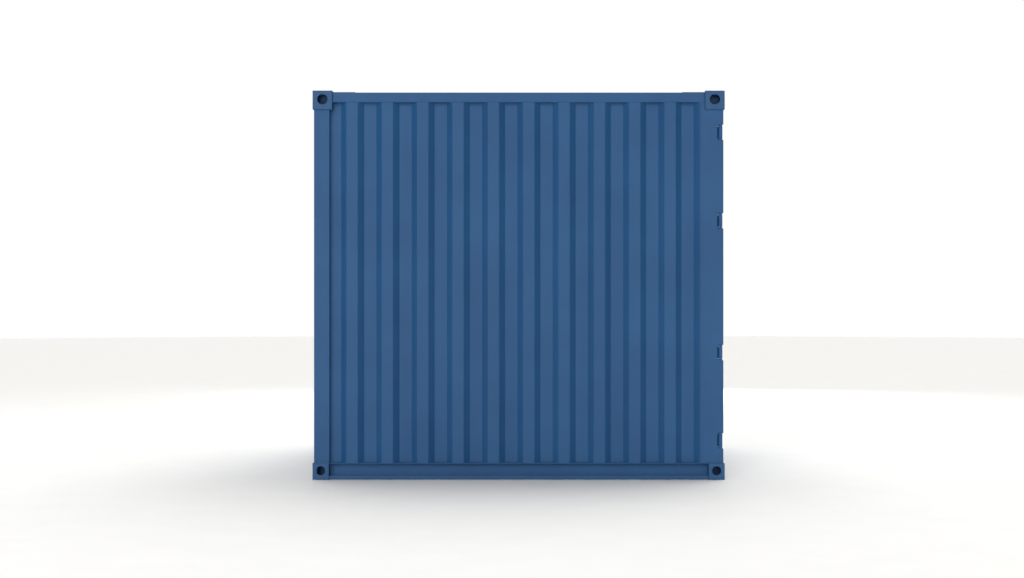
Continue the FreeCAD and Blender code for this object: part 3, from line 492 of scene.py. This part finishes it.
print("roof")
roof = {"sheet": 2, "troughWidth": 118, "troughSlope": 13.5, "troughDepth": 18, "troughPitch": 209,
        "endGap": 18, "blindMargin": 8, "doorMargin": 24, "bend": 7}
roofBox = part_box("roof_panel")
roofTop = roofBox[1].z
troughStart = roofBox[0].x + roof["blindMargin"] * mm
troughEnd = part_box("header_door")[0].x - roof["doorMargin"] * mm
troughCount = int((troughEnd - troughStart) / mm / roof["troughPitch"])
troughStep = (troughEnd - troughStart) / troughCount
troughMiddles = [troughStart + troughStep * (index + 0.5) for index in range(troughCount)]
troughReach = castingSide - roof["endGap"] * mm
halfTrough = roof["troughWidth"] * mm / 2


def inTrough(place):
    across = abs(place.y) < troughReach / 2
    return across and any(abs(place.x - middle) < halfTrough for middle in troughMiddles)


bm = bmesh.new()
centre = (roofBox[0] + roofBox[1]) / 2
spread = roofBox[1] - roofBox[0]
matrix = Matrix.Translation((centre.x, centre.y, roofTop)) @ Matrix.Diagonal((spread.x, spread.y, 1, 1))
bmesh.ops.create_grid(bm, x_segments=1, y_segments=1, size=0.5, matrix=matrix)
for y in (-troughReach, troughReach):
    cutAcross(bm, (0, y, 0), yWay)
for middle in troughMiddles:
    for x in (middle - halfTrough, middle + halfTrough):
        cutAcross(bm, (x, 0, 0), xWay)
pressed = [face for face in bm.faces if inTrough(face.calc_center_median())]
bmesh.ops.inset_individual(bm, faces=pressed, thickness=roof["troughSlope"] * mm,
                           depth=-roof["troughDepth"] * mm, use_even_offset=True)
bm.normal_update()
roundEdges(bm, roof["bend"], segments=3, angle=20)
finishSheet(bm, "pressedRoof", "roof_panel", roof)

bm = bmesh.new()
addBeads(bm, [[(x, y, roofTop - roof["sheet"] * mm) for x in (roofBox[0].x, roofBox[1].x)]
              for y in (roofBox[0].y, roofBox[1].y)], beads["light"])
for low, high in nodeParts("roof_corner_plates"):
    rim = [(low.x, low.y, low.z), (high.x, low.y, low.z), (high.x, high.y, low.z), (low.x, high.y, low.z)]
    addBeads(bm, [rim], beads["seam"], closed=True)
finishWelds(bm, "roofWelds", "container")


def softened(node, size, segments=2, wider=()):
    # a CAD node with rounded edges; wider are larger roundings, done first, of the edges that each picks
    bm = nodeMesh(node)
    for rounding in wider:
        roundEdges(bm, rounding["size"], 4, pick=rounding["pick"])
    roundEdges(bm, size, segments)
    piece = finishPiece(bm, f"{node}_made", bodyOf[node], paintOf[slotOf[node]])
    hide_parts(node)


print("frame")
frameEdges = {"casting": 1.5, "corner_post": 2.0, "top_rail": 4.0, "bottom_rail": 1.8, "header": 3.0,
              "sill": 1.8, "roof_corner": 1.0, "roof_header": 0.8, "cross_members": 1.5,
              "hinge_lugs": 1.5}
# a casting's straight edges are longer than the first length, and the chords of its round holes
# shorter than the second
casting = {"straightEdge": 60, "rimChord": 25, "edge": 5}
# the web stands back from the lower casting's face under a lip
lowRail = {"webSetback": 42, "lipDrop": 6, "webFoot": 9}
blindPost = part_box("corner_post_blind_right")
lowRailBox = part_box("bottom_rail_right")


def liesAt(edge, axis, level):
    # whether an edge lies at a level along an axis, or at its mirror image
    return all(abs(abs(vert.co[axis]) - abs(level)) < tolerance["level"] * mm for vert in edge.verts)


def outerCorner(edge):
    # the pressed corner post turns a wide corner where the side meets the blind end
    return liesAt(edge, 0, blindPost[0].x) and liesAt(edge, 1, blindPost[1].y)


def flangeBend(edge):
    # the bottom rail's upper flange is bent down over its web
    return liesAt(edge, 2, lowRailBox[1].z) and liesAt(edge, 1, lowRailBox[1].y)


def holeRim(edge):
    # the rims of the round holes in the castings' end and side faces
    onFace = liesAt(edge, 0, cadBox[1].x) or liesAt(edge, 1, cadBox[1].y)
    return onFace and edge.calc_length() < casting["rimChord"] * mm


def castingEdge(edge):
    # the straight edges of a casting, outside and in its cavity
    return edge.calc_length() > casting["straightEdge"] * mm


widerEdges = {"corner_post_blind": [{"size": 8, "pick": outerCorner}],
              "bottom_rail": [{"size": 4, "pick": flangeBend}]}
for end in ends:
    for level in ("low", "top"):
        widerEdges[f"casting_{level}_{end}"] = [{"size": casting["edge"], "pick": castingEdge},
                                                {"size": casting["edge"], "pick": holeRim}]
for node in frame["nodes"]:
    for start, size in frameEdges.items():
        if node.startswith(start):
            softened(node, size, wider=widerEdges.get(node.rsplit("_", 1)[0], ()))

# beads where the posts and rails meet the castings
bm = bmesh.new()
for side, sign in sides.items():
    outer = int(sign > 0)  # which corner of a box is on the outer side
    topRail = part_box(f"top_rail_{side}")
    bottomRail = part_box(f"bottom_rail_{side}")
    for end, way in ends.items():
        inner = int(way < 0)  # which corner of a box is nearer the other end
        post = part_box(f"corner_post_{end}_{side}")
        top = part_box(f"casting_top_{end}_{side}")
        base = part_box(f"casting_low_{end}_{side}")
        for joined, level in ((top, top[0].z), (base, base[1].z)):
            near = max(joined[0].x, post[0].x)
            far = min(joined[1].x, post[1].x)
            addBeads(bm, [[(near, post[outer].y, level), (far, post[outer].y, level)]], beads["frame"])
        x, y = top[inner].x, topRail[outer].y
        addBeads(bm, [[(x, y, topRail[0].z), (x, y, topRail[1].z)]], beads["frame"])
        x, y = base[inner].x, bottomRail[outer].y
        web = y - sign * lowRail["webSetback"] * mm
        lip = base[1].z - lowRail["lipDrop"] * mm
        addBeads(bm, [[(x, y, lip), (x, web, lip), (x, web, lowRail["webFoot"] * mm)]], beads["frame"])
finishWelds(bm, "frameWelds", "container")


print("floor")
boards = {"gap": 2, "strip": 60, "stripDrop": 2, "stripEdge": 2, "lengthwise": 3, "edge": 1.0,
          "postGap": 2, "screwRadius": 6, "screwTop": 4.5, "screwHeight": 0.5, "screwPitch": 150,
          "screwMargin": 25}
floorLow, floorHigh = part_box("floor")
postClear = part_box("corner_post_blind_left")[1].x + boards["postGap"] * mm
castingClear = castingSide - boards["postGap"] * mm
halfStrip = boards["strip"] / 2 * mm
length = (floorHigh.x - floorLow.x) / boards["lengthwise"]
bm = bmesh.new()
for sign in (-1, 1):
    near, far = sign * halfStrip, sign * floorHigh.y
    for index in range(boards["lengthwise"]):
        gap = boards["gap"] * mm if index < boards["lengthwise"] - 1 else 0
        x0 = floorLow.x + index * length
        x1 = x0 + length - gap
        if index == 0:
            # the first board is cut round the blind end's posts
            addBlock(bm, (x0, near, floorLow.z), (postClear, sign * castingClear, floorHigh.z),
                     boards["edge"])
            x0 = postClear
        addBlock(bm, (x0, near, floorLow.z), (x1, far, floorHigh.z), boards["edge"])
piece = finishPiece(bm, "plywoodBoards", "container", plywood)
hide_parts("floor")

bm = bmesh.new()
addBlock(bm, (floorLow.x, -halfStrip, floorLow.z + boards["stripDrop"] * mm),
         (floorHigh.x, halfStrip, floorHigh.z), boards["stripEdge"])
screwGaps = int((floorHigh.y - halfStrip) / mm / boards["screwPitch"])
firstScrew = halfStrip + boards["screwMargin"] * mm
screwRun = floorHigh.y - halfStrip - 2 * boards["screwMargin"] * mm
for low, high in nodeParts("cross_members"):
    for sign in (-1, 1):
        for index in range(screwGaps + 1):
            y = sign * (firstScrew + screwRun * index / screwGaps)
            addDisc(bm, ((low.x + high.x) / 2, y, floorHigh.z), zWay, boards["screwRadius"],
                    boards["screwHeight"], count=12, headRadius=boards["screwTop"])
finishPiece(bm, "floorStripAndScrews", "container", wornSteel)


print("doors")
leaf = {"stile": 60, "rail": 100, "edge": 4, "middleHeight": 1250}
handle = {"thickness": 9, "tipEdge": 12, "retainerWidth": 100}
# a collar keeps the rod up on its bracket; the rod stands off the leaf by rodGap
collar = {"rodRadius": 13.6, "rodGap": 0.8, "radius": 16.8, "height": 8, "gap": 1, "edge": 1}
# M8 and M6 screws with hexagon heads
bracketBolt = {"washer": 8, "washerHeight": 1.5, "head": 7.2, "headHeight": 5, "along": 27, "up": 22,
               "plate": 6}
retainerBolt = {"washer": 6, "washerHeight": 1, "head": 5.2, "headHeight": 3.5, "up": 20.5}
keeperPlate = {"thickness": 3, "margin": 6, "edge": 1}
leafEdges = {"door_gasket": 1.0, "hinge_blades": 2.0, "lock_rods": 2.0, "rod_brackets": 1.2}


def handleTip(edge):
    # the edges through a handle bar's thickness, at the corners of its free end
    run = edge.verts[0].co - edge.verts[1].co
    through = abs(abs(run.x) - handle["thickness"] * mm) < tolerance["level"] * mm
    return through and abs(run.y) + abs(run.z) < tolerance["level"] * mm


def leafFrame(side):
    # four bars; the stiles run the whole height and the rails between them
    low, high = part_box(f"door_frame_{side}")
    stile, rail = leaf["stile"] * mm, leaf["rail"] * mm
    bm = bmesh.new()
    for y0, y1 in ((low.y, low.y + stile), (high.y - stile, high.y)):
        addBlock(bm, (low.x, y0, low.z), (high.x, y1, high.z), leaf["edge"], 3)
    for z0, z1 in ((low.z, low.z + rail), (high.z - rail, high.z)):
        addBlock(bm, (low.x, low.y + stile, z0), (high.x, high.y - stile, z1), leaf["edge"], 3)
    piece = finishPiece(bm, f"doorFrame_{side}_made", f"door_{side}", sectionPaint)
    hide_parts(f"door_frame_{side}")


def leafSheet(side):
    node = f"door_panel_{side}"
    bm, wall, corners = foldedSheet(node, doorSheet, xWay)
    finishSheet(bm, f"doorSheet_{side}", node, doorSheet)
    bm = bmesh.new()
    addBeads(bm, [levelRun(wall, corners, wall["low"]),
                  levelRun(wall, corners, wall["high"]),
                  uprightRun(wall, corners[0], wall["low"], wall["high"]),
                  uprightRun(wall, corners[-1], wall["low"], wall["high"])], beads["sheet"])
    finishWelds(bm, f"doorWelds_{side}", f"door_{side}")


def lockFixings(side):
    # the bolts of the rod brackets and handle retainers, and the collars on the rods
    bm = bmesh.new()
    brackets = nodeParts(f"rod_brackets_{side}")
    for low, high in brackets:
        middle = (low + high) / 2
        plate = low.x + bracketBolt["plate"] * mm
        places = [(plate, middle.y + y * bracketBolt["along"] * mm, middle.z + z * bracketBolt["up"] * mm)
                  for y in (-1, 1) for z in (-1, 1)]
        addBolts(bm, places, xWay, bracketBolt)
    for low, high in nodeParts(f"lock_handles_{side}"):
        middle = (low + high) / 2
        if high.y - low.y < handle["retainerWidth"] * mm:
            places = [(high.x, middle.y, middle.z + z * retainerBolt["up"] * mm) for z in (-1, 1)]
            addBolts(bm, places, xWay, retainerBolt)
    for low, high in brackets[2:6]:
        # collars over the two lower middle brackets and under the two upper ones keep the rod up
        x = low.x + (collar["rodGap"] + collar["rodRadius"]) * mm
        over = high.z + collar["gap"] * mm
        under = low.z - (collar["height"] + collar["gap"]) * mm
        start = over if low.z < leaf["middleHeight"] * mm else under
        addDisc(bm, (x, (low.y + high.y) / 2, start), zWay, collar["radius"], collar["height"], count=24,
                edge=collar["edge"])
    finishPiece(bm, f"lockFixings_{side}", f"door_{side}", zinc)


def hingeWelds(side, sign):
    # beads round the three sides of each hinge blade that lie on the leaf
    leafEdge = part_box(f"door_frame_{side}")[int(sign > 0)].y
    start = leafEdge - sign * leaf["edge"] * mm
    bm = bmesh.new()
    for low, high in nodeParts(f"hinge_blades_{side}"):
        tip = high.y if sign < 0 else low.y
        run = [(low.x, start, high.z), (low.x, tip, high.z), (low.x, tip, low.z), (low.x, start, low.z)]
        addBeads(bm, [run], beads["blade"])
    finishWelds(bm, f"hingeWelds_{side}", f"door_{side}")


def keeperPlates():
    # one plate behind the two cheeks of each keeper
    margin = keeperPlate["margin"] * mm
    cheeks = nodeParts("cam_keepers")
    bm = bmesh.new()
    for (low, _), (_, high) in zip(cheeks[::2], cheeks[1::2]):
        front = low.x + keeperPlate["thickness"] * mm
        addBlock(bm, (low.x, low.y - margin, low.z - margin), (front, high.y + margin, high.z + margin),
                 keeperPlate["edge"])
    finishPiece(bm, "keeperPlates", "container", zinc)


for side, sign in sides.items():
    leafFrame(side)
    leafSheet(side)
    for node, size in leafEdges.items():
        softened(f"{node}_{side}", size)
    softened(f"lock_handles_{side}", 2.0, wider=[{"size": handle["tipEdge"], "pick": handleTip}])
    lockFixings(side)
    hingeWelds(side, sign)
softened("cam_keepers", 2.0)
keeperPlates()


print("stage")
studio = {"floorRadius": 40, "sideGlow": 0.08, "frontGlow": 0.04, "topGlow": 0.05, "backdrop": 1.0}
bm = bmesh.new()
bmesh.ops.create_circle(bm, cap_ends=True, segments=96, radius=studio["floorRadius"])
mesh = bpy.data.meshes.new("studioFloor")
bm.to_mesh(mesh)
bm.free()
# painted studio floor: matt white
mesh.materials.append(noisyFinish("mattStudioFloor", ("#f7f6f3", "#f9f8f5"), 300, 2.0, (0.85, 0.95), 0.0,
                                  {"Specular IOR Level": 0.1}))
studioFloor = bpy.data.objects.new("studioFloor", mesh)
bpy.context.scene.collection.objects.link(studioFloor)

# the backdrop shows white, and glows a little on the object from the sides, the front and above
world = bpy.data.worlds.new("studio")
bpy.context.scene.world = world
world.use_nodes = True
tree = world.node_tree
tree.nodes.clear()
ray = addNode(tree, "ShaderNodeLightPath")
direction = addNode(tree, "ShaderNodeTexCoord").outputs["Generated"]
squares = addNode(tree, "ShaderNodeVectorMath", {"operation": "MULTIPLY"}, {0: direction, 1: direction})
glows = (studio["sideGlow"], studio["frontGlow"], studio["topGlow"])
glow = addNode(tree, "ShaderNodeVectorMath", {"operation": "DOT_PRODUCT", 1: glows},
               {0: squares.outputs["Vector"]})
given = addNode(tree, "ShaderNodeBackground", {"Color": (1, 1, 1, 1)}, {"Strength": glow.outputs["Value"]})
shown = addNode(tree, "ShaderNodeBackground", {"Color": (1, 1, 1, 1), "Strength": studio["backdrop"]})
mixed = addNode(tree, "ShaderNodeMixShader", links={0: ray.outputs["Is Camera Ray"], 1: given.outputs[0],
                                                    2: shown.outputs[0]})
addNode(tree, "ShaderNodeOutputWorld", links={"Surface": mixed.outputs[0]})


def placeLight(data, location, target, **settings):
    for key, value in settings.items():
        setattr(data, key, value)
    light = bpy.data.objects.new(data.name, data)
    light.location = location
    light.rotation_euler = (Vector(target) - light.location).to_track_quat("-Z", "Y").to_euler()
    bpy.context.scene.collection.objects.link(light)


def addSun(name, location, energy, spread):
    placeLight(bpy.data.lights.new(name, "SUN"), location, (0, 0, 0), energy=energy,
               angle=math.radians(spread))


def addPanel(name, location, target, energy, width, height):
    placeLight(bpy.data.lights.new(name, "AREA"), location, target, energy=energy, shape="RECTANGLE",
               size=width, size_y=height)


addSun("skyPanel", (0.7, 3.5, 8), energy=2.5, spread=60)
addSun("frontPanel", (-1.3, -9, 4.5), energy=1.55, spread=45)
sideMiddle = (0, cadBox[0].y, 1.2)
addPanel("leftPanel", (-5.8, -8.1, 1.0), sideMiddle, energy=80, width=2.5, height=2)
addPanel("rightPanel", (5.8, -8.1, 1.0), sideMiddle, energy=40, width=2.5, height=2)
# weaker panels for the sides that the camera doesn't see
addPanel("doorPanel", (8, 1.5, 1.0), (1.4, 0, 1.3), energy=130, width=3, height=3)
addPanel("blindPanel", (-8, 1.5, 1.0), (-1.4, 0, 1.3), energy=90, width=3, height=3)
addPanel("backPanel", (1, 9.5, 2), (0, 1.2, 1.3), energy=200, width=3, height=3)

cameraPlace = {"aside": 268.5, "distance": 10300, "height": 1197, "lens": 54.4362, "sensor": 36,
               "shiftX": -0.0459, "shiftY": 0.01074}
cameraData = bpy.data.cameras.new("camera")
cameraData.sensor_width = cameraPlace["sensor"]
cameraData.lens = cameraPlace["lens"]
cameraData.shift_x = cameraPlace["shiftX"]
cameraData.shift_y = cameraPlace["shiftY"]
cameraData.clip_end = 200
camera = bpy.data.objects.new("camera", cameraData)
camera.location = (cameraPlace["aside"] * mm, cadBox[0].y - cameraPlace["distance"] * mm,
                   cameraPlace["height"] * mm)
camera.rotation_euler = (math.radians(90), 0, 0)
bpy.context.scene.collection.objects.link(camera)
bpy.context.scene.camera = camera
bpy.context.scene.view_settings.view_transform = "Standard"
